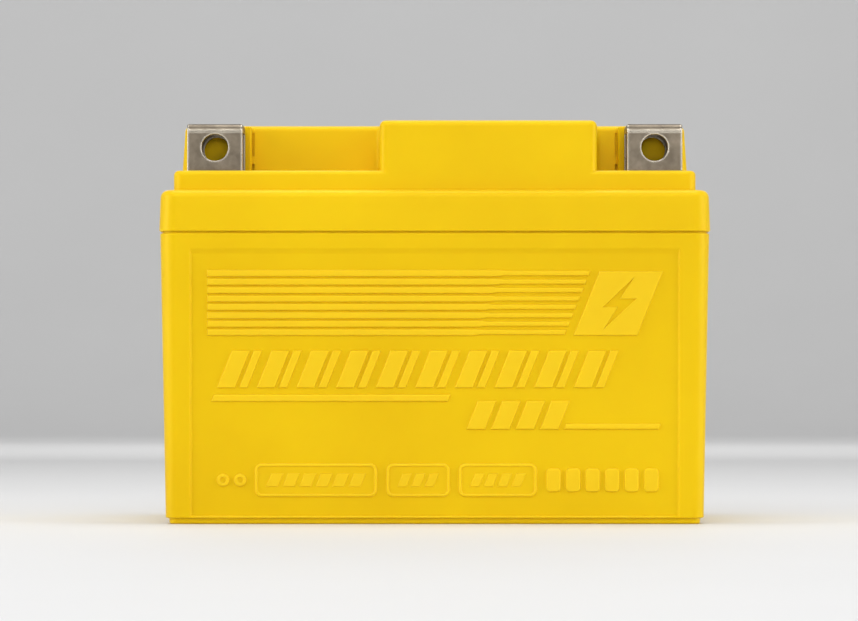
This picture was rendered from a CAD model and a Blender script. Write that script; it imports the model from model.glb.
"""Looks of a sealed yellow motorcycle battery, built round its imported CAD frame.

Metres, in the frame of the CAD: origin at the centre of the base, +X to the right seen from the
terminal side, +Y to the back, +Z up.
"""
import math

import bpy
from mathutils import Matrix, Vector


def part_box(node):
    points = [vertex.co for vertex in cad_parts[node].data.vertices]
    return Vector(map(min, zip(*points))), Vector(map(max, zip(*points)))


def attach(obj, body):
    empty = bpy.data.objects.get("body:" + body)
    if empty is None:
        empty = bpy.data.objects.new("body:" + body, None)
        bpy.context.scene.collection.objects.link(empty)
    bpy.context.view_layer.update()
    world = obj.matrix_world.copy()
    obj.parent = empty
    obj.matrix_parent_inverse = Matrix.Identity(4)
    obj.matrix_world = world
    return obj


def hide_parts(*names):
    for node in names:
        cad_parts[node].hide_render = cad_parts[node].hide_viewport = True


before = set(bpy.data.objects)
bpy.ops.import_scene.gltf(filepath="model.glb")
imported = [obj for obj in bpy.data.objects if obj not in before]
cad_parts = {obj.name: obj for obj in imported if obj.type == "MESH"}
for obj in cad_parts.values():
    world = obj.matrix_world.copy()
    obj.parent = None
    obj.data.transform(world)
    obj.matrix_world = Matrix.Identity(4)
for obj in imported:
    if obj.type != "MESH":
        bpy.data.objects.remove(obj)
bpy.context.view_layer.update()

MM = 0.001

# --- Places taken from the frame ---
case_low, case_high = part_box("container")
lid_low, lid_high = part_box("lid")
plate_low, plate_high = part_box("top_plate")
SEAM = lid_low.z
TOP = lid_high.z
HALF_LENGTH = lid_high.x
HALF_WIDTH = lid_high.y

# --- Container: its walls lean in towards the base and end in a foot that is set in ---
CORNER = 3.6 * MM
LEAN = 1.1 * MM
WALL = 1.9 * MM
FLOOR = 2.6 * MM
WALL_LOW = 2 * MM
FOOT_HEIGHT = 1.4 * MM
FOOT_IN = 0.75 * MM
FOOT_R = 0.5 * MM
FOOT_RISE = 0.35 * MM
FOOT_STEPS = 8
RIM_EDGE = 0.3 * MM
SEAM_GAP = 0.35 * MM
SEAM_DEPTH = 0.5 * MM
CORNER_X = case_high.x - CORNER
CORNER_Y = case_high.y - CORNER
FACE_R = CORNER - LEAN
LEAN_ANGLE = math.atan(LEAN / (SEAM - WALL_LOW))

# --- Cells ---
CELLS = 6
PARTITION = 1.2 * MM
ROOM_X = CORNER_X + FACE_R - WALL
ROOM_Y = CORNER_Y + FACE_R - WALL
CELL_PITCH = (2 * ROOM_X + PARTITION) / CELLS
CELL_WIDTH = CELL_PITCH - PARTITION
LINK_R = 2.5 * MM
PASTE_TOP = 46.8 * MM

# --- Lid ---
FLANGE_Z = 68.4 * MM
FLANGE_R = CORNER + HALF_LENGTH - case_high.x
FLANGE_LEAN = 0.25 * MM
PLINTH_Z = 72.5 * MM
PLINTH_X = HALF_LENGTH - 2.9 * MM
PLINTH_Y = HALF_WIDTH - 2.9 * MM
PLINTH_R = 2.2 * MM
FLANGE_EDGE = 1.6 * MM
PLINTH_EDGE = 1 * MM
COVE = 0.12 * MM
LID_WALL = 2.2 * MM
SHOULDER = FLANGE_Z - LID_WALL
ROOF = PLINTH_Z - 2.4 * MM

# --- Raised blocks of the lid, with the bays of the terminals between them ---
BLOCK_EDGE = 1.2 * MM
BLOCK_LEAN = 0.6 * MM
BLOCK_R = 2.6 * MM
BAY_Y = -16.2 * MM
BAY_COVE = 1.5 * MM
FRONT_LEFT = -11.3 * MM
FRONT_RIGHT = 33.3 * MM
FRONT_R = 1.6 * MM
REAR_X = PLINTH_X - 0.65 * MM
REAR_Y = PLINTH_Y - 0.65 * MM
PAD_TOP = TOP - 0.3 * MM
PAD_R = 0.4 * MM
PAD_OVER = 1.3 * MM
SLIT_WIDTH = 0.5 * MM
SLIT_DEPTH = 1 * MM

# --- Terminals ---
left_low, left_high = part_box("positive_terminal")
TERMINAL_X = -(left_low.x + left_high.x) / 2
TERMINAL_Y = (left_low.y + left_high.y) / 2
TERMINAL_W = left_high.x - left_low.x
TERMINAL_D = left_high.y - left_low.y
TERMINAL_LOW = left_low.z
TERMINAL_TOP = left_high.z
TERMINAL_T = 1.6 * MM
BOLT_R = 2.75 * MM
BOLT_Z = 77.3 * MM
POCKET_GAP = 0.05 * MM
POST_R = 3.5 * MM
SEAL_R = 5.3 * MM
seal_low, seal_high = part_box("positive_post_seal")
# Keeps a cut face from lying in the plane of the face that it meets
SHY = 0.01 * MM

# --- Valve well ---
VALVE_PITCH = 17 * MM
WELL_Y = (plate_low.y + plate_high.y) / 2
WELL_Z = 74.6 * MM
WELL_HALF_X = 48.5 * MM
WELL_HALF_Y = 8.5 * MM
LEDGE = 1.4 * MM
NOZZLE_R = 4 * MM
NOZZLE_TOP = 78.3 * MM
NOZZLE_BORE = 1.6 * MM

# --- Smoothness of round shapes ---
CORNER_STEPS = 10
EDGE_STEPS = 7
ROUND_STEPS = 64


# ---------------------------------------------------------------- mesh building

def new_object(name, vertices, faces):
    mesh = bpy.data.meshes.new(name)
    mesh.from_pydata(vertices, [], faces)
    mesh.update()
    made = bpy.data.objects.new(name, mesh)
    bpy.context.scene.collection.objects.link(made)
    return made


def arc(centre, radius, start, end, steps=CORNER_STEPS):
    """Points on an arc from angle start to angle end, in degrees."""
    turns = [math.radians(start + (end - start) * k / steps) for k in range(steps + 1)]
    return [(centre[0] + radius * math.cos(a), centre[1] + radius * math.sin(a)) for a in turns]


def circle(centre, radius, steps=ROUND_STEPS):
    return arc(centre, radius, 0, 360, steps)[:-1]


def rounded_rectangle(half_x, half_y, radius, centre=(0, 0), steps=CORNER_STEPS):
    x, y = half_x - radius, half_y - radius
    corners = ((-x, -y, 180), (x, -y, 270), (x, y, 0), (-x, y, 90))
    return [
        p
        for cx, cy, a in corners
        for p in arc((centre[0] + cx, centre[1] + cy), radius, a, a + 90, steps)
    ]


def loft(name, rings):
    """A closed solid through rings of equally many (x, y, z) points, anticlockwise, going up."""
    count = len(rings[0])
    vertices = [p for ring in rings for p in ring]
    faces = [
        (a * count + k, a * count + (k + 1) % count,
         (a + 1) * count + (k + 1) % count, (a + 1) * count + k)
        for a in range(len(rings) - 1)
        for k in range(count)
    ]
    last = (len(rings) - 1) * count
    faces.append(tuple(reversed(range(count))))
    faces.append(tuple(range(last, last + count)))
    return new_object(name, vertices, faces)


def at_height(outline, z):
    return [(x, y, z) for x, y in outline]


def quarter(steps):
    """Angles from 0 to 90 degrees, in radians."""
    return [math.pi / 2 * k / steps for k in range(steps + 1)]


def soft_top(radius, z, edge, steps=EDGE_STEPS):
    """(radius, height) pairs of a rounded upper edge that ends at height z."""
    return [(radius - edge + edge * math.cos(a), z - edge + edge * math.sin(a))
            for a in quarter(steps)]


def s_curve(t):
    """Eases from 0 to 1 while t goes from 0 to 1."""
    return t * t * (3 - 2 * t)


def soft_foot(radius, z, cove, steps=4):
    """(radius, height) pairs of a hollow fillet that starts at height z."""
    return [(radius + cove - cove * math.sin(a), z + cove - cove * math.cos(a))
            for a in quarter(steps)]


def round_block(name, half_x, half_y, levels, centre=(0, 0)):
    """A block whose corner centres stay put while its (radius, height) levels grow or shrink."""
    rings = [at_height(rounded_rectangle(half_x + r, half_y + r, r, centre), z)
             for r, z in levels]
    return loft(name, rings)


def straight_block(name, half_x, half_y, low, high, radius, centre=(0, 0)):
    outline = rounded_rectangle(half_x, half_y, radius, centre)
    return loft(name, [at_height(outline, low), at_height(outline, high)])


def box_solid(name, low, high):
    x0, y0, z0 = low
    x1, y1, z1 = high
    outline = [(x0, y0), (x1, y0), (x1, y1), (x0, y1)]
    return loft(name, [at_height(outline, z0), at_height(outline, z1)])


def lathe(name, levels, centre=(0, 0)):
    """A solid of revolution round a vertical axis through (radius, height) levels."""
    return loft(name, [at_height(circle(centre, r), z) for r, z in levels])


def placed(obj, matrix):
    obj.data.transform(matrix)
    obj.data.update()
    return obj


def merged(name, objects):
    """One object that holds the meshes of several."""
    vertices, faces = [], []
    for o in objects:
        start = len(vertices)
        vertices += [tuple(v.co) for v in o.data.vertices]
        faces += [tuple(start + i for i in p.vertices) for p in o.data.polygons]
        bpy.data.objects.remove(o)
    return new_object(name, vertices, faces)


def apply_modifiers(obj):
    bpy.context.view_layer.update()
    graph = bpy.context.evaluated_depsgraph_get()
    mesh = bpy.data.meshes.new_from_object(obj.evaluated_get(graph))
    obj.modifiers.clear()
    obj.data = mesh
    return obj


def combine(obj, operation, *tools):
    """Adds tools to obj ("UNION") or takes them out of it ("DIFFERENCE"), and removes them."""
    for tool in tools:
        modifier = obj.modifiers.new("combine", "BOOLEAN")
        modifier.operation = operation
        modifier.solver = "EXACT"
        modifier.object = tool
        apply_modifiers(obj)
        bpy.data.objects.remove(tool)
    return obj


def offset_outline(points, inset):
    """An anticlockwise outline moved inward by inset, with mitred corners."""
    moved = []
    count = len(points)
    for k in range(count):
        here = Vector(points[k])
        before = here - Vector(points[k - 1])
        after = Vector(points[(k + 1) % count]) - here
        n0 = Vector((-before.y, before.x)).normalized()
        n1 = Vector((-after.y, after.x)).normalized()
        mid = n0 + n1
        moved.append(tuple(here + mid * (2 * inset / mid.length_squared)))
    return moved


def smooth(obj, degrees=32):
    """Smooth shading with sharp edges kept, weighted so that flat faces stay flat."""
    obj.data.shade_smooth()
    obj.data.set_sharp_from_angle(angle=math.radians(degrees))
    modifier = obj.modifiers.new("weighted normals", "WEIGHTED_NORMAL")
    modifier.keep_sharp = True
    modifier.weight = 100
    return apply_modifiers(obj)


# ---------------------------------------------------------------- container

def on_wall(turn, distance):
    """Puts local (along, up, out) on the leaning wall that faces the heading turn, in degrees."""
    return (
        Matrix.Rotation(math.radians(turn), 4, "Z")
        @ Matrix.Translation((0, -distance, WALL_LOW))
        @ Matrix.Rotation(math.pi / 2 + LEAN_ANGLE, 4, "X")
    )


FRONT_WALL = on_wall(0, CORNER_Y + FACE_R)
FRONT_PANEL = 50.2 * MM
END_PANEL = 28.6 * MM
PANELS = (
    (FRONT_WALL, FRONT_PANEL),
    (on_wall(180, CORNER_Y + FACE_R), FRONT_PANEL),
    (on_wall(90, CORNER_X + FACE_R), END_PANEL),
    (on_wall(270, CORNER_X + FACE_R), END_PANEL),
)
PANEL_STEPS = 8
PANEL_DEPTH = 0.5 * MM
PANEL_HIGH = 54.2 * MM
PANEL_LOW = FOOT_HEIGHT - WALL_LOW + 0.4 * MM
SIDE_SLOPE = 0.6 * MM
LOW_SLOPE = 0.3 * MM
TOP_SLOPE = 1.5 * MM
# Share of the upper slope that lies below PANEL_HIGH
TOP_SLOPE_SHARE = 0.7

# --- Raised marks on the front panel ---
RELIEF = 0.45 * MM
RELIEF_EDGE = 0.3 * MM
RELIEF_FOOT = 0.12 * MM
# How far a slanted end leans to the right for each unit of height
SLANT = 0.4
STRIPES = 8
STRIPE_LOW = 36.57 * MM
STRIPE_PITCH = 1.72 * MM
STRIPE_HEIGHT = 1.34 * MM


def panel_cutter(half):
    """Takes out a shallow recess with S-shaped sides that ends just above the foot."""
    rings = []
    for k in range(PANEL_STEPS + 1):
        t = k / PANEL_STEPS
        x = half + SIDE_SLOPE * (t - 1)
        high = PANEL_HIGH + TOP_SLOPE * (t - TOP_SLOPE_SHARE)
        low = PANEL_LOW - LOW_SLOPE * t
        outline = [(-x, low), (x, low), (x, high), (-x, high)]
        rings.append(at_height(outline, PANEL_DEPTH * (s_curve(t) - 1)))
    rings.append(at_height(outline, 1 * MM))
    return loft("panel cutter", rings)


def relief(outline, height=RELIEF):
    """A plate raised from the panel's floor, with a hollow foot and a rounded rim."""
    rings = [at_height(offset_outline(outline, -RELIEF_FOOT), -PANEL_DEPTH - 0.2 * MM)]
    for a in quarter(3):
        foot = offset_outline(outline, -RELIEF_FOOT * (1 - math.sin(a)))
        rings.append(at_height(foot, -PANEL_DEPTH + RELIEF_FOOT * (1 - math.cos(a))))
    for a in quarter(4):
        rim = offset_outline(outline, RELIEF_EDGE * (1 - math.cos(a)))
        rings.append(at_height(rim, -PANEL_DEPTH + height - RELIEF_EDGE * (1 - math.sin(a))))
    return loft("relief", rings)


def sunk(outline, depth):
    """Takes a hollow of that depth out of a relief, with a rounded floor and mouth."""
    soft = 0.12 * MM
    top = RELIEF - PANEL_DEPTH
    rings = [at_height(offset_outline(outline, soft * (1 - math.sin(a))),
                       top - depth + soft * (1 - math.cos(a))) for a in quarter(3)]
    rings += [at_height(offset_outline(outline, -soft * (1 - math.cos(a))),
                        top - soft + soft * math.sin(a)) for a in quarter(3)]
    rings.append(at_height(offset_outline(outline, -soft), top + 0.5 * MM))
    return loft("sunk", rings)


def slanted(x, y, width, height):
    """Outline of a bar with slanted ends, its low left corner at x, y."""
    lean = SLANT * height
    return [(x, y), (x + width, y), (x + width + lean, y + height), (x + lean, y + height)]


def plaque(x, y, width, height, radius):
    """Outline of a bar with round corners, its low left corner at x, y."""
    return rounded_rectangle(width / 2, height / 2, radius, (x + width / 2, y + height / 2), 6)


def stripe(k):
    """Outline of long rib k, thinner past a slanted step, with a slanted right end."""
    low = STRIPE_LOW + STRIPE_PITCH * k
    high = low + STRIPE_HEIGHT
    thin_low, thin_high = low + 0.19 * MM, high - 0.15 * MM
    left = -46.5 * MM
    lean = SLANT * (low - STRIPE_LOW)
    step, right = 9.2 * MM + lean, 26.6 * MM + lean
    taper = 0.9 * MM
    return [
        (left, low), (step - taper, low), (step, thin_low), (right, thin_low),
        (right + SLANT * (thin_high - thin_low), thin_high), (step + taper / 2, thin_high),
        (step - taper / 2, high), (left, high),
    ]


def emblem():
    """A slanted plate with a sunk lightning bolt."""
    plate = relief(slanted(28.4 * MM, 36.6 * MM, 13 * MM, 13.1 * MM))
    bolt = [(x * MM, y * MM) for x, y in (
        (34.6, 38), (41.2, 44.1), (37.9, 44.1), (40.6, 48.3), (34.4, 42.4), (37.4, 42.4))]
    return combine(plate, "DIFFERENCE", sunk(bolt, 0.3 * MM))


def plaque_with_bars(x, width, bars):
    """A framed plaque with a row of small slanted bars inside."""
    y, height, rim = 3.6 * MM, 6.8 * MM, 0.55 * MM
    made = relief(plaque(x, y, width, height, 1.4 * MM))
    field = plaque(x + rim, y + rim, width - 2 * rim, height - 2 * rim, 0.9 * MM)
    combine(made, "DIFFERENCE", sunk(field, 0.25 * MM))
    margin, gap = 2.2 * MM, 0.8 * MM
    bar_height = 2.8 * MM
    room = width - 2 * margin - SLANT * bar_height
    bar_width = (room - (bars - 1) * gap) / bars
    for k in range(bars):
        bar = slanted(x + margin + k * (bar_width + gap), y + 2 * MM, bar_width, bar_height)
        combine(made, "UNION", relief(bar, 0.4 * MM))
    return made


def dotted_disc(x):
    """A small raised ring."""
    centre = (x, 7 * MM)
    disc = relief(circle(centre, 1.3 * MM, 32))
    return combine(disc, "DIFFERENCE", sunk(circle(centre, 0.6 * MM, 24), 0.25 * MM))


def split_block(x, y, width, height):
    """A slanted block parted by a narrow slot into a broad and a narrow bar."""
    slot = 0.75 * MM
    broad = 0.6 * width
    return [relief(slanted(x, y, broad, height)),
            relief(slanted(x + broad + slot, y, width - broad - slot, height))]


def front_reliefs():
    """The raised marks of the front panel: plain shapes in place of lettering."""
    made = [relief(stripe(k)) for k in range(STRIPES)]
    made.append(emblem())
    for k in range(10):
        made += split_block((-44.5 + 8.1 * k) * MM, 25.9 * MM, 6.2 * MM, 7.6 * MM)
    made.append(relief(slanted(-45.7 * MM, 23.1 * MM, 48.4 * MM, 1.4 * MM)))
    for k in range(4):
        made.append(relief(slanted((6.5 + 5 * k) * MM, 17.4 * MM, 3.8 * MM, 5.8 * MM)))
    made.append(relief(slanted(26.4 * MM, 17.4 * MM, 19.4 * MM, 1.1 * MM)))
    made.append(plaque_with_bars(-36.8 * MM, 25 * MM, 6))
    made.append(plaque_with_bars(-9.9 * MM, 13 * MM, 3))
    made.append(plaque_with_bars(4.9 * MM, 16 * MM, 4))
    for k in range(6):
        made.append(relief(plaque((22.8 + 4 * k) * MM, 4.6 * MM, 3 * MM, 4.8 * MM, 0.8 * MM)))
    made += [dotted_disc(x * MM) for x in (-43.3, -39.8)]
    return merged("front reliefs", made)


def cell_rooms():
    """The six cell spaces between the partitions."""
    rooms = [
        box_solid("room", (x, -ROOM_Y, FLOOR), (x + CELL_WIDTH, ROOM_Y, SEAM + 1 * MM))
        for x in (-ROOM_X + k * CELL_PITCH for k in range(CELLS))
    ]
    return merged("cell rooms", rooms)


def link_holes():
    """Round holes in the partitions, where the links pass."""
    holes = []
    for k in range(1, CELLS):
        low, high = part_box(f"cell_link_{k}")
        middle = (low + high) / 2
        hole = lathe("link hole", [(LINK_R, -PARTITION), (LINK_R, PARTITION)])
        holes.append(placed(hole, Matrix.Translation(middle) @ Matrix.Rotation(math.pi / 2, 4, "Y")))
    return merged("link holes", holes)


def make_container():
    foot = FACE_R - FOOT_IN
    levels = [(foot - FOOT_R * (1 - math.sin(a)), FOOT_R * (1 - math.cos(a))) for a in quarter(6)]
    for k in range(FOOT_STEPS + 1):
        t = k / FOOT_STEPS
        levels.append((foot + FOOT_IN * s_curve(t), FOOT_HEIGHT + FOOT_RISE * (t - 1)))
    levels.append((FACE_R, WALL_LOW))
    levels += soft_top(CORNER, SEAM - SEAM_GAP, RIM_EDGE, 4)
    levels += [(CORNER - SEAM_DEPTH, SEAM - SEAM_GAP), (CORNER - SEAM_DEPTH, SEAM)]
    body = round_block("container_shell", CORNER_X, CORNER_Y, levels)
    recesses = [placed(panel_cutter(half), matrix) for matrix, half in PANELS]
    combine(body, "DIFFERENCE", merged("recesses", recesses))
    combine(body, "UNION", placed(front_reliefs(), FRONT_WALL))
    combine(body, "DIFFERENCE", cell_rooms(), link_holes())
    return body


# ---------------------------------------------------------------- lid

def raised_outline(inset, lean):
    """The outline of the raised blocks, moved in by inset. Only the rear block leans."""
    front = -PLINTH_Y + max(inset, 0)
    left, right = FRONT_LEFT + inset, FRONT_RIGHT - inset
    bay = BAY_Y + inset + lean
    side, back = REAR_X - inset - lean, REAR_Y - inset - lean
    r_front, r_rear, r_bay = FRONT_R - inset, BLOCK_R - inset - lean, BAY_COVE + inset
    corners = (
        (left + r_front, front + r_front, r_front, 180, 270),
        (right - r_front, front + r_front, r_front, 270, 360),
        (right + r_bay, bay - r_bay, r_bay, 180, 90),
        (side - r_rear, bay + r_rear, r_rear, 270, 360),
        (side - r_rear, back - r_rear, r_rear, 0, 90),
        (-side + r_rear, back - r_rear, r_rear, 90, 180),
        (-side + r_rear, bay + r_rear, r_rear, 180, 270),
        (left - r_bay, bay - r_bay, r_bay, 90, 0),
    )
    return [p for x, y, r, a, b in corners for p in arc((x, y), r, a, b)]


def raised_blocks():
    rings = [at_height(raised_outline(-COVE, 0), PLINTH_Z - PLINTH_EDGE)]
    rings += [at_height(raised_outline(-foot, 0), z) for foot, z in soft_foot(0, PLINTH_Z, COVE)]
    rings += [at_height(raised_outline(-r, BLOCK_LEAN), z) for r, z in soft_top(0, TOP, BLOCK_EDGE)]
    return loft("raised blocks", rings)


def terminal_pad(side):
    """The flat pad behind a terminal, which reaches a little past its inner side."""
    half_x = (TERMINAL_W + PAD_OVER) / 2
    front = TERMINAL_Y + TERMINAL_D / 2
    half_y = (BAY_Y + 2 * MM - front) / 2
    centre = (side * (TERMINAL_X - PAD_OVER / 2), front + half_y)
    levels = [(PAD_R, SHOULDER)] + soft_top(PAD_R, PAD_TOP, PAD_R, 4)
    return round_block("pad", half_x - PAD_R, half_y - PAD_R, levels, centre)


def lid_rooms():
    """The hollow under the lid, parted by ribs that carry the partitions on up."""
    rooms = straight_block("lid rooms", ROOM_X, ROOM_Y, SEAM - 1 * MM, SHOULDER, 1.5 * MM)
    half_x, half_y = PLINTH_X - LID_WALL, PLINTH_Y - LID_WALL
    combine(
        rooms, "UNION",
        straight_block("plinth room", half_x, half_y, SEAM, ROOF, 1.5 * MM),
        box_solid("well room", (-WELL_HALF_X, WELL_Y - WELL_HALF_Y, SEAM),
                  (WELL_HALF_X, WELL_Y + WELL_HALF_Y, WELL_Z - 2 * MM)),
        box_solid("front room", (FRONT_LEFT + LID_WALL, -half_y, SEAM),
                  (FRONT_RIGHT - LID_WALL, BAY_Y + 5.8 * MM, TOP - LID_WALL)),
    )
    ribs = [
        box_solid("rib", (x - PARTITION, -HALF_WIDTH, 0), (x, HALF_WIDTH, TOP))
        for x in (-ROOM_X + k * CELL_PITCH for k in range(1, CELLS))
    ]
    return combine(rooms, "DIFFERENCE", merged("ribs", ribs))


def terminal_seat(side):
    half_x = TERMINAL_W / 2 + 0.2 * MM
    half_y = TERMINAL_D / 2
    return box_solid("seat", (side * TERMINAL_X - half_x, TERMINAL_Y - half_y, seal_low.z),
                     (side * TERMINAL_X + half_x, TERMINAL_Y + half_y, TERMINAL_LOW - SHY))


def terminal_pocket(side):
    x, half_x = side * TERMINAL_X, TERMINAL_W / 2 + POCKET_GAP
    back = TERMINAL_Y + TERMINAL_D / 2
    return [
        box_solid("pocket", (x - half_x, back - TERMINAL_D - POCKET_GAP, TERMINAL_LOW),
                  (x + half_x, back + SHY, TOP + 1 * MM)),
        lathe("post hole", [(POST_R + POCKET_GAP, 0), (POST_R + POCKET_GAP, TERMINAL_LOW + 1 * MM)],
              (x, TERMINAL_Y)),
        lathe("seal hole", [(SEAL_R, 0), (SEAL_R, seal_high.z)], (x, TERMINAL_Y)),
    ]


def pad_slits(side):
    """A narrow slit beside the pad, broken by a short rib."""
    x = side * (TERMINAL_X - TERMINAL_W / 2 - PAD_OVER - SLIT_WIDTH / 2)
    spans = ((PLINTH_Z, 74.8 * MM), (76.4 * MM, TOP - 1.5 * MM))
    return merged("slits", [
        box_solid("slit", (x - SLIT_WIDTH / 2, BAY_Y - SLIT_DEPTH, low),
                  (x + SLIT_WIDTH / 2, BAY_Y + SLIT_DEPTH, high))
        for low, high in spans
    ])


def polarity_marks():
    """Sunk plus and minus signs on the top, behind their terminals."""
    y, arm, half, floor = BAY_Y + 6 * MM, 2.2 * MM, 0.6 * MM, TOP - 0.3 * MM

    def bar(x, half_x, half_y):
        return box_solid("bar", (x - half_x, y - half_y, floor), (x + half_x, y + half_y, TOP + 1 * MM))

    return [bar(-TERMINAL_X, arm, half), bar(-TERMINAL_X, half, arm), bar(TERMINAL_X, arm, half)]


def valve_well():
    mouth_z = plate_low.z
    soft = 0.25 * MM
    centre = (0, WELL_Y)
    half_x, half_y, r = WELL_HALF_X + LEDGE, WELL_HALF_Y + LEDGE, 3 * MM
    mouth = [(r, mouth_z), (r, TOP - soft), (r + soft, TOP), (r + soft, TOP + 1 * MM)]
    return [
        straight_block("well", WELL_HALF_X, WELL_HALF_Y, WELL_Z, TOP + 1 * MM, 2 * MM, centre),
        round_block("ledge", half_x - r, half_y - r, mouth, centre),
    ]


def valve_places():
    return [((k - (CELLS - 1) / 2) * VALVE_PITCH, WELL_Y) for k in range(CELLS)]


def nozzles():
    levels = [(NOZZLE_R + 0.4 * MM, WELL_Z - 0.5 * MM), (NOZZLE_R + 0.4 * MM, WELL_Z)]
    levels += [(NOZZLE_R, WELL_Z + 0.3 * MM)] + soft_top(NOZZLE_R, NOZZLE_TOP, 0.3 * MM, 3)
    return merged("nozzles", [lathe("nozzle", levels, place) for place in valve_places()])


def nozzle_bores():
    levels = [(NOZZLE_BORE, SEAM), (NOZZLE_BORE, TOP)]
    return merged("bores", [lathe("bore", levels, place) for place in valve_places()])


def make_lid():
    flange = [(FLANGE_R - 0.3 * MM, SEAM), (FLANGE_R - 0.09 * MM, SEAM + 0.09 * MM),
              (FLANGE_R, SEAM + 0.3 * MM)]
    flange += soft_top(FLANGE_R - FLANGE_LEAN, FLANGE_Z, FLANGE_EDGE)
    plinth = [(PLINTH_R + COVE, FLANGE_Z - FLANGE_EDGE)] + soft_foot(PLINTH_R, FLANGE_Z, COVE)
    plinth += soft_top(PLINTH_R, PLINTH_Z, PLINTH_EDGE)
    sides = (-1, 1)
    made = round_block("lid_shell", CORNER_X, CORNER_Y, flange)
    combine(
        made, "UNION",
        round_block("plinth", PLINTH_X - PLINTH_R, PLINTH_Y - PLINTH_R, plinth),
        raised_blocks(),
        merged("pads", [terminal_pad(side) for side in sides]),
    )
    combine(made, "DIFFERENCE", lid_rooms())
    combine(made, "UNION", merged("seats", [terminal_seat(side) for side in sides]))
    combine(made, "DIFFERENCE", *valve_well())
    combine(made, "UNION", nozzles())
    combine(made, "DIFFERENCE", nozzle_bores(), *polarity_marks())
    for side in sides:
        combine(made, "DIFFERENCE", *terminal_pocket(side), pad_slits(side))
    return made


def make_top_plate():
    """The plate sealed over the valve well: softened rim, sunk field and a notch at each end."""
    half_x = (plate_high.x - plate_low.x) / 2
    half_y = (plate_high.y - plate_low.y) / 2
    r = 2.9 * MM
    centre = (0, WELL_Y)
    made = round_block("top_plate_cover", half_x - r, half_y - r,
                       [(r, plate_low.z)] + soft_top(r, TOP, 0.3 * MM, 4), centre)
    field_x, field_y, field_r = WELL_HALF_X - 3 * MM, WELL_HALF_Y - 3 * MM, 2 * MM
    depth = 0.4 * MM
    field = [(field_r - depth * (1 - math.sin(a)), TOP - depth * math.cos(a)) for a in quarter(4)]
    field.append((field_r, TOP + 1 * MM))
    notches = [
        box_solid("notch", (x - 0.8 * MM, WELL_Y - 2 * MM, 0), (x + 0.8 * MM, WELL_Y + 2 * MM, 1))
        for x in (-WELL_HALF_X - LEDGE, WELL_HALF_X + LEDGE)
    ]
    return combine(made, "DIFFERENCE",
                   round_block("field", field_x - field_r, field_y - field_r, field, centre),
                   *notches)


# ---------------------------------------------------------------- terminals and valve caps

def make_terminal(name, side):
    """A box bent round the nut, with softened edges and chamfered holes, open on its inner side."""
    bend, side_r = 1.5 * MM, 0.3 * MM
    x = side * TERMINAL_X
    half_x, half_y = TERMINAL_W / 2, TERMINAL_D / 2

    def ring(a):
        z = TERMINAL_TOP - bend * (1 - math.sin(a))
        over = max(0, z - TERMINAL_TOP + side_r)
        in_x = side_r - math.sqrt(side_r ** 2 - over ** 2)
        in_y = bend * (1 - math.cos(a))
        outline = rounded_rectangle(half_x - in_x, half_y - in_y, side_r, (x, TERMINAL_Y), 5)
        return at_height(outline, z)

    low = rounded_rectangle(half_x, half_y, side_r, (x, TERMINAL_Y), 5)
    made = loft(name, [at_height(low, TERMINAL_LOW)] + [ring(a) for a in quarter(12)])
    inner_x = half_x - TERMINAL_T
    reach = half_x + 1 * MM
    room_low = x - inner_x if side < 0 else x - reach
    room_high = x + reach if side < 0 else x + inner_x
    room = box_solid("nut room",
                     (room_low, TERMINAL_Y - half_y + TERMINAL_T, TERMINAL_LOW + TERMINAL_T),
                     (room_high, TERMINAL_Y + half_y - TERMINAL_T, TERMINAL_TOP - TERMINAL_T))
    chamfer = 0.08 * MM
    to_front = Matrix.Translation((x, TERMINAL_Y, BOLT_Z)) @ Matrix.Rotation(math.pi / 2, 4, "X")
    through = lathe("front hole", [
        (BOLT_R + chamfer, -half_y - 1 * MM), (BOLT_R + chamfer, -half_y),
        (BOLT_R, -half_y + chamfer), (BOLT_R, half_y - chamfer),
        (BOLT_R + chamfer, half_y), (BOLT_R + chamfer, half_y + 1 * MM)])
    down = lathe("top hole", [
        (BOLT_R, BOLT_Z), (BOLT_R, TERMINAL_TOP - chamfer),
        (BOLT_R + chamfer, TERMINAL_TOP), (BOLT_R + chamfer, TOP + 1 * MM)], (x, TERMINAL_Y))
    line_z = TERMINAL_TOP - bend - 0.2 * MM
    line = box_solid("bend line", (x - half_x - 1 * MM, TERMINAL_Y - half_y - 1 * MM, line_z),
                     (x + half_x + 1 * MM, TERMINAL_Y - half_y + 0.14 * MM, line_z + 0.24 * MM))
    return combine(made, "DIFFERENCE", room, placed(through, to_front), down, line)


def make_valve_cap(name, low, high):
    """A rubber cup over its nozzle, with two grip rings and a dimple on top."""
    centre = ((low.x + high.x) / 2, (low.y + high.y) / 2)
    outer = (high.x - low.x) / 2
    inner = NOZZLE_R + POCKET_GAP
    ring = 0.2 * MM
    levels = [(inner, NOZZLE_TOP), (inner, low.z + ring), (inner + ring, low.z), (outer - ring, low.z)]
    for z in (low.z + 0.2 * MM, low.z + 1.6 * MM):
        levels += [(outer, z), (outer, z + 0.7 * MM), (outer - ring, z + 0.9 * MM)]
    levels.append((outer - ring, high.z - 0.8 * MM))
    levels += soft_top(outer - ring, high.z, 0.6 * MM, 4)
    levels += [(1.4 * MM, high.z), (1 * MM, high.z - 0.4 * MM), (0.3 * MM, high.z - 0.5 * MM)]
    return lathe(name, levels, centre)


# ---------------------------------------------------------------- materials

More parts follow.
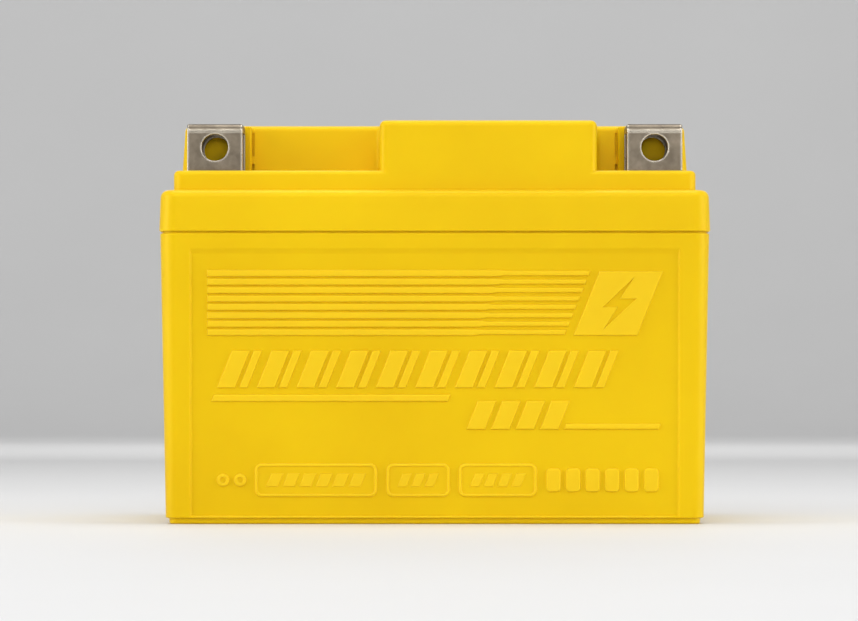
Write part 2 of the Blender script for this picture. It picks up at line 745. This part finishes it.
class Recipe:
    """A material under construction: adds nodes and links what they are given."""

    def __init__(self, name):
        self.material = bpy.data.materials.new(name)
        self.material.use_nodes = True
        self.tree = self.material.node_tree
        self.shader = self.tree.nodes["Principled BSDF"]
        self.place = self.add("ShaderNodeTexCoord").outputs["Object"]

    def add(self, kind, inputs=None, **settings):
        node = self.tree.nodes.new(kind)
        for key, value in settings.items():
            setattr(node, key, value)
        for key, value in (inputs or {}).items():
            self.give(node.inputs[key], value)
        return node

    def give(self, socket, value):
        if isinstance(value, bpy.types.NodeSocket):
            self.tree.links.new(value, socket)
        else:
            socket.default_value = value

    def finish(self, **inputs):
        for key, value in inputs.items():
            self.give(self.shader.inputs[key.replace("_", " ")], value)
        return self.material

    def noise(self, scale, detail=3.0, stretch=None, roughness=0.5):
        place = self.place
        if stretch:
            place = self.add("ShaderNodeMapping", {"Vector": place, "Scale": stretch}).outputs[0]
        made = self.add("ShaderNodeTexNoise", {
            "Vector": place, "Scale": scale, "Detail": detail, "Roughness": roughness})
        return made.outputs["Fac"]

    def ramp(self, value, low, high, to_low=0.0, to_high=1.0):
        return self.add("ShaderNodeMapRange", {
            "Value": value, "From Min": low, "From Max": high,
            "To Min": to_low, "To Max": to_high}).outputs[0]

    def times(self, a, b):
        return self.add("ShaderNodeMath", {0: a, 1: b}, operation="MULTIPLY").outputs[0]

    def minus(self, a, b):
        return self.add("ShaderNodeMath", {0: a, 1: b}, operation="SUBTRACT").outputs[0]

    def mix(self, factor, a, b):
        """Colour a where factor is 0, colour b where it is 1."""
        node = self.add("ShaderNodeMix", data_type="RGBA")
        self.give(node.inputs["Factor"], factor)
        colours = [socket for socket in node.inputs if socket.type == "RGBA"]
        self.give(colours[0], a)
        self.give(colours[1], b)
        return [socket for socket in node.outputs if socket.type == "RGBA"][0]

    def bump(self, height, distance, strength=1.0, normal=None):
        inputs = {"Height": height, "Distance": distance, "Strength": strength}
        if normal is not None:
            inputs["Normal"] = normal
        return self.add("ShaderNodeBump", inputs).outputs[0]

    def edges(self, radius, low=0.02, high=0.25):
        """1 on edges, 0 on flat faces: how far a rounded normal turns from the real one."""
        rounded = self.add("ShaderNodeBevel", {"Radius": radius}, samples=4).outputs[0]
        real = self.add("ShaderNodeNewGeometry").outputs["Normal"]
        turned = self.add("ShaderNodeVectorMath", {0: rounded, 1: real}, operation="DOT_PRODUCT")
        return self.ramp(turned.outputs["Value"], 1 - low, 1 - high)


def raised_marks(r):
    """1 on the raised marks of the front panel, which hands have rubbed lighter."""
    outward = FRONT_WALL.col[2].to_3d()
    wall = FRONT_WALL.translation.dot(outward)
    out = r.add("ShaderNodeVectorMath", {0: r.place, 1: outward}, operation="DOT_PRODUCT")
    place = r.add("ShaderNodeSeparateXYZ", {0: r.place}).outputs
    beside = r.add("ShaderNodeMath", {0: place["X"]}, operation="ABSOLUTE").outputs[0]
    inside = r.times(r.ramp(beside, FRONT_PANEL - 2 * MM, FRONT_PANEL - 1 * MM, 1, 0),
                     r.ramp(place["Z"], PANEL_HIGH - 1 * MM, PANEL_HIGH, 1, 0))
    return r.times(inside, r.ramp(out.outputs["Value"], wall - 0.35 * MM, wall - 0.12 * MM))


def plastic():
    """Moulded satin plastic: fine grain, flow marks, faint blotches, rubbed edges."""
    r = Recipe("yellow_plastic")
    blotches = r.ramp(r.noise(28, 3), 0.35, 0.65)
    flow = r.noise(60, 2, (1, 1, 0.25))
    colour = r.mix(blotches, (0.765, 0.492, 0.0030, 1), (0.810, 0.540, 0.0036, 1))
    rubbed = r.times(r.edges(0.35 * MM), r.ramp(r.noise(420, 4, roughness=0.7), 0.45, 0.75))
    colour = r.mix(r.times(rubbed, 0.35), colour, (0.93, 0.66, 0.06, 1))
    colour = r.mix(r.times(raised_marks(r), 0.5), colour, (0.88, 0.60, 0.022, 1))
    grain = r.noise(2600, 2)
    roughness = r.ramp(r.noise(160, 4), 0.3, 0.7, 0.36, 0.46)
    roughness = r.minus(roughness, r.times(rubbed, 0.10))
    normal = r.bump(flow, 0.06 * MM, 0.25)
    return r.finish(Base_Color=colour, Roughness=roughness, Specular_Tint=(1, 0.8, 0.15, 1),
                    Subsurface_Weight=0.3, Subsurface_Radius=(1, 0.7, 0.1),
                    Subsurface_Scale=1.2 * MM, Normal=r.bump(grain, 0.008 * MM, 0.5, normal))


def tin():
    """Tin-plated brass: dull patches, fine scratches, bright rubbed edges."""
    r = Recipe("tinned_metal")
    patches = r.ramp(r.noise(260, 5, roughness=0.65), 0.35, 0.68)
    colour = r.mix(patches, (0.165, 0.136, 0.100, 1), (0.275, 0.230, 0.174, 1))
    bright = r.edges(0.6 * MM, 0.003, 0.07)
    colour = r.mix(r.times(bright, 0.85), colour, (0.86, 0.80, 0.68, 1))
    scratches = r.noise(900, 4, (1, 1, 0.12), 0.7)
    pits = r.noise(1900, 3)
    roughness = r.ramp(r.noise(420, 4), 0.3, 0.7, 0.34, 0.52)
    roughness = r.minus(roughness, r.times(bright, 0.12))
    normal = r.bump(scratches, 0.02 * MM, 0.35)
    return r.finish(Base_Color=colour, Metallic=1.0, Roughness=roughness,
                    Normal=r.bump(pits, 0.012 * MM, 0.5, normal))


def cast_lead():
    """Dull cast metal, clouded, with a rough skin and brighter edges."""
    r = Recipe("cast_lead")
    clouds = r.ramp(r.noise(150, 5, roughness=0.6), 0.3, 0.7)
    colour = r.mix(clouds, (0.13, 0.135, 0.145, 1), (0.27, 0.275, 0.285, 1))
    colour = r.mix(r.times(r.edges(0.3 * MM), 0.5), colour, (0.42, 0.43, 0.45, 1))
    return r.finish(Base_Color=colour, Metallic=0.85,
                    Roughness=r.ramp(r.noise(500, 4), 0.3, 0.7, 0.42, 0.66),
                    Normal=r.bump(r.noise(700, 4, roughness=0.65), 0.06 * MM, 0.6))


def pasted(name, dark, light):
    """Active paste pressed into a lead grid, whose wires show through; lead above the plate."""
    r = Recipe(name)
    parts = r.add("ShaderNodeSeparateXYZ", {0: r.place})
    flat = r.add("ShaderNodeCombineXYZ", {"X": parts.outputs["Y"], "Y": parts.outputs["Z"]})
    grid = r.add("ShaderNodeTexBrick", {
        "Vector": flat.outputs[0], "Scale": 1.0, "Mortar Size": 0.35 * MM, "Mortar Smooth": 0.6,
        "Brick Width": 6.5 * MM, "Row Height": 4.5 * MM}, offset=0.5)
    wires = grid.outputs["Fac"]
    crumbs = r.noise(1400, 5, roughness=0.7)
    colour = r.mix(r.ramp(crumbs, 0.35, 0.68), dark, light)
    colour = r.mix(r.times(wires, 0.55), colour, (0.20, 0.20, 0.21, 1))
    lug = r.ramp(parts.outputs["Z"], PASTE_TOP, PASTE_TOP + 0.3 * MM)
    colour = r.mix(lug, colour, (0.24, 0.245, 0.255, 1))
    normal = r.bump(wires, 0.08 * MM, 0.5)
    return r.finish(Base_Color=colour, Metallic=r.times(lug, 0.8),
                    Roughness=r.ramp(r.noise(300, 3), 0.3, 0.7, 0.72, 0.92),
                    Normal=r.bump(crumbs, 0.08 * MM, 0.7, normal))


def glass_mat():
    """Felted glass fibre, wet in places."""
    r = Recipe("glass_mat")
    fibres = r.noise(1600, 5, (1, 0.2, 1), 0.75)
    clumps = r.noise(240, 4)
    colour = r.mix(r.ramp(clumps, 0.3, 0.7), (0.66, 0.67, 0.64, 1), (0.84, 0.85, 0.83, 1))
    return r.finish(Base_Color=colour,
                    Roughness=r.ramp(clumps, 0.3, 0.7, 0.70, 0.95),
                    Normal=r.bump(fibres, 0.1 * MM, 0.8))


def rubber():
    """Black rubber with a film of dust and scuffed edges."""
    r = Recipe("black_rubber")
    dust = r.ramp(r.noise(700, 5, roughness=0.7), 0.5, 0.75)
    colour = r.mix(r.times(dust, 0.5), (0.014, 0.014, 0.015, 1), (0.06, 0.058, 0.055, 1))
    colour = r.mix(r.times(r.edges(0.2 * MM), 0.5), colour, (0.10, 0.10, 0.10, 1))
    return r.finish(Base_Color=colour,
                    Roughness=r.ramp(r.noise(300, 3), 0.3, 0.7, 0.55, 0.75),
                    Normal=r.bump(r.noise(2200, 3), 0.02 * MM, 0.6))


def paint(obj, material):
    obj.data.materials.clear()
    obj.data.materials.append(material)


def add_piece(obj, node, body, material, sharp=32):
    """Finishes a piece that stands for a CAD node."""
    smooth(obj, sharp)
    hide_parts(node)
    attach(obj, body)
    paint(obj, material)


# ---------------------------------------------------------------- camera, light, floor

def make_camera():
    """The camera of the photo: level, low and far away, with its picture shifted upward."""
    data = bpy.data.cameras.new("camera")
    camera = bpy.data.objects.new("camera", data)
    bpy.context.scene.collection.objects.link(camera)
    camera.location = (0, -0.795, 0.0254)
    camera.rotation_euler = (math.pi / 2, 0, 0)
    data.lens = 156.2
    data.sensor_width = 36
    data.shift_x = -0.0067
    data.shift_y = 0.1043
    bpy.context.scene.camera = camera


def softbox(name, place, size, power, target=(0, 0, SEAM)):
    """A rectangular light that faces target."""
    data = bpy.data.lights.new(name, "AREA")
    data.shape = "RECTANGLE"
    data.size, data.size_y = size
    data.energy = power
    lamp = bpy.data.objects.new(name, data)
    bpy.context.scene.collection.objects.link(lamp)
    lamp.location = place
    aim = Vector(target) - Vector(place)
    lamp.rotation_euler = aim.to_track_quat("-Z", "Y").to_euler()


def make_lights():
    softbox("key", (-0.1, -1.0, 0.75), (0.9, 0.6), 5.5)
    softbox("top", (0, 0.05, 0.95), (0.8, 0.5), 5)
    softbox("front", (0.3, -1.7, 0.32), (1.0, 0.6), 2.5)
    softbox("left", (-0.9, -0.3, 0.3), (0.5, 0.6), 4)
    softbox("right", (0.9, -0.3, 0.3), (0.5, 0.6), 4)
    softbox("rear", (0, 1.2, 0.6), (1.0, 0.5), 2)
    softbox("backdrop", (0, 0.8, 1.0), (1.4, 0.4), 14, (0, 2.7, 0.9))
    world = bpy.data.worlds.new("studio air")
    bpy.context.scene.world = world
    world.use_nodes = True
    background = world.node_tree.nodes["Background"]
    background.inputs["Color"].default_value = (1, 1, 1, 1)
    background.inputs["Strength"].default_value = 0.25
    bpy.context.scene.view_settings.view_transform = "Standard"


def make_floor():
    """A round floor that sweeps up into a low wall all round."""
    reach, bend, wall_top, sides = 1.9, 0.8, 1.4, 96
    rings = [(reach - 0.1, 0)]
    rings += [(reach + bend * math.sin(a), bend - bend * math.cos(a)) for a in quarter(16)]
    rings.append((reach + bend, wall_top))
    vertices = [p for r, z in rings for p in at_height(circle((0, 0), r, sides), z)]
    faces = [tuple(range(sides))]
    faces += [
        (a * sides + k, (a + 1) * sides + k,
         (a + 1) * sides + (k + 1) % sides, a * sides + (k + 1) % sides)
        for a in range(len(rings) - 1)
        for k in range(sides)
    ]
    floor = new_object("studio_floor", vertices, faces)
    floor.data.shade_smooth()
    r = Recipe("pale_floor")
    tone = r.mix(r.noise(6, 3), (0.68, 0.68, 0.68, 1), (0.72, 0.72, 0.72, 1))
    paint(floor, r.finish(Base_Color=tone, Roughness=0.7))


# ---------------------------------------------------------------- the battery

make_camera()
make_lights()
make_floor()

yellow = plastic()
metal = tin()
black = rubber()
add_piece(make_container(), "container", "battery", yellow)
add_piece(make_lid(), "lid", "battery", yellow)
add_piece(make_top_plate(), "top_plate", "battery", yellow)
for pole, pole_side in (("positive", -1), ("negative", 1)):
    add_piece(make_terminal(f"{pole}_terminal_box", pole_side), f"{pole}_terminal", "battery",
              metal)
for cell in range(1, CELLS + 1):
    cap = make_valve_cap(f"valve_cup_{cell}", *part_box(f"valve_cap_{cell}"))
    add_piece(cap, f"valve_cap_{cell}", f"valve_{cell}", black)

inner_materials = {
    "positive_plates": pasted("positive_paste", (0.050, 0.022, 0.014, 1), (0.110, 0.052, 0.032, 1)),
    "negative_plates": pasted("negative_paste", (0.115, 0.120, 0.125, 1), (0.220, 0.225, 0.230, 1)),
    "separators": glass_mat(),
    "post_seal": black,
    "post": cast_lead(),
}
inner_materials["strap"] = inner_materials["post"]
inner_materials["cell_link"] = inner_materials["post"]
for node_name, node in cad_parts.items():
    for kind, inner in inner_materials.items():
        if kind in node_name:
            paint(node, inner)
            break
